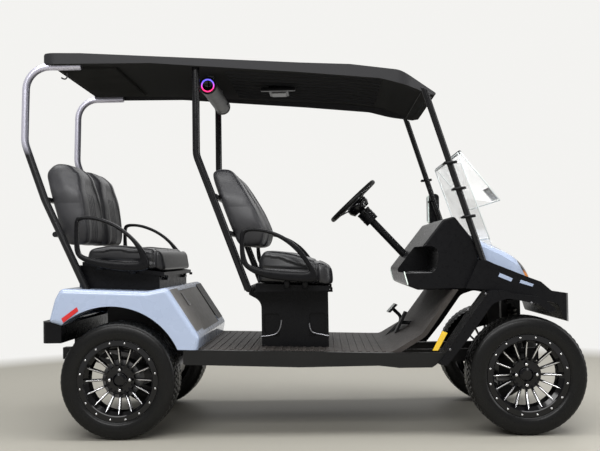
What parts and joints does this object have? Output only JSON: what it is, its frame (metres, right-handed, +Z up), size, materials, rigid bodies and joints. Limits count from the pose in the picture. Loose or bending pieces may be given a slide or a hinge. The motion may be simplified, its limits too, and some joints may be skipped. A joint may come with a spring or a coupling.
{
  "type": "four-seat golf cart",
  "caption": "Electric golf cart with two forward-facing bench seats, canopy roof on tube struts, folding screen and wide road wheels.",
  "frame": {"origin": "middle of the cart's outline on the ground", "axes": "+X forward along the cart, +Y to its left, +Z up"},
  "size_m": [2.8246, 1.29, 1.9307],
  "materials": {
    "body_paint": "gloss",
    "frame_paint": "satin",
    "strut_paint": "gloss",
    "black_plastic": "textured",
    "roof_plastic": "textured",
    "floor_mat": "ribbed",
    "seat_vinyl": "grained",
    "grip_rubber": "grained",
    "tyre_rubber": "matt",
    "rim_paint": "gloss",
    "steel_parts": "machined",
    "clear_screen": "clear",
    "lamp_lens": "smoked",
    "speaker_case": "satin",
    "battery_case": "satin",
    "panel_plastic": "textured"
  },
  "bodies": {
    "chassis": {"floor_pan": "floor_mat", "side_sills": "black_plastic", "rear_body": "body_paint", "rear_access_panel": "panel_plastic", "rear_bumper": "black_plastic", "tow_bracket": "frame_paint", "front_cowl": "body_paint", "front_fascia": "black_plastic", "headlights": "lamp_lens", "frame": "frame_paint", "fender_flares": "black_plastic", "dashboard": "black_plastic", "roof": "roof_plastic", "rear_struts": "strut_paint", "middle_struts": "strut_paint", "front_struts": "strut_paint", "windshield": "clear_screen", "windshield_clips": "black_plastic", "side_mirror": "black_plastic", "sound_bar": "speaker_case", "front_pedestal": "black_plastic", "front_seat_backs": "seat_vinyl", "rear_seat_backs": "seat_vinyl", "rear_seat_base": "black_plastic", "steering_column": "black_plastic", "pedals": "frame_paint", "front_suspension": "frame_paint", "rear_axle": "steel_parts", "battery_pack": "battery_case"},
    "steering_wheel": {"steering_wheel": "grip_rubber"},
    "steering_rack": {"steering_rack": "steel_parts"},
    "knuckle_left": {"knuckle_left": "steel_parts"},
    "knuckle_right": {"knuckle_right": "steel_parts"},
    "front_seat": {"front_seat_cushion": "seat_vinyl", "front_seat_pan": "black_plastic", "front_armrests": "black_plastic"},
    "rear_seat": {"rear_seat_cushion": "seat_vinyl", "rear_seat_pan": "black_plastic", "rear_armrests": "black_plastic"},
    "wheel_front_left": {"tyre_front_left": "tyre_rubber", "rim_front_left": "rim_paint"},
    "wheel_front_right": {"tyre_front_right": "tyre_rubber", "rim_front_right": "rim_paint"},
    "wheel_rear_left": {"tyre_rear_left": "tyre_rubber", "rim_rear_left": "rim_paint"},
    "wheel_rear_right": {"tyre_rear_right": "tyre_rubber", "rim_rear_right": "rim_paint"}
  },
  "joints": [
    {"name": "steering", "type": "hinge", "parent": "chassis", "child": "steering_wheel", "pos_m": [0.2928, 0.27, 1.203], "axis": [0.6782, 0, -0.7349], "range_deg": [-270, 270]},
    {"name": "rack_slide", "type": "slide", "parent": "chassis", "child": "steering_rack", "axis": [0, 1, 0], "range_m": [-0.0476, 0.0476]},
    {"name": "kingpin_left", "type": "hinge", "parent": "chassis", "child": "knuckle_left", "pos_m": [1.0978, 0.47, 0.288], "axis": [0, 0, 1], "range_deg": [-27.2, 27.2]},
    {"name": "kingpin_right", "type": "hinge", "parent": "chassis", "child": "knuckle_right", "pos_m": [1.0978, -0.47, 0.288], "axis": [0, 0, 1], "range_deg": [-27.2, 27.2]},
    {"name": "front_seat_tilt", "type": "hinge", "parent": "chassis", "child": "front_seat", "pos_m": [0.1528, 0, 0.715], "axis": [0, 1, 0], "range_deg": [0, 50]},
    {"name": "rear_seat_tilt", "type": "hinge", "parent": "chassis", "child": "rear_seat", "pos_m": [-0.7072, 0, 0.7793], "axis": [0, 1, 0], "range_deg": [0, 60]},
    {"name": "roll_front_left", "type": "hinge", "parent": "knuckle_left", "child": "wheel_front_left", "pos_m": [1.0978, 0.531, 0.288], "axis": [0, 1, 0], "continuous": true},
    {"name": "roll_front_right", "type": "hinge", "parent": "knuckle_right", "child": "wheel_front_right", "pos_m": [1.0978, -0.531, 0.288], "axis": [0, 1, 0], "continuous": true},
    {"name": "roll_rear_left", "type": "hinge", "parent": "chassis", "child": "wheel_rear_left", "pos_m": [-0.9022, 0.531, 0.288], "axis": [0, 1, 0], "continuous": true},
    {"name": "roll_rear_right", "type": "hinge", "parent": "chassis", "child": "wheel_rear_right", "pos_m": [-0.9022, -0.531, 0.288], "axis": [0, 1, 0], "continuous": true}
  ],
  "couplings": [
    {"joint": "rack_slide", "follows": "steering", "m_per_rad": 0.010019},
    {"joint": "kingpin_left", "follows": "steering", "ratio": -0.1},
    {"joint": "kingpin_right", "follows": "steering", "ratio": -0.1}
  ]
}
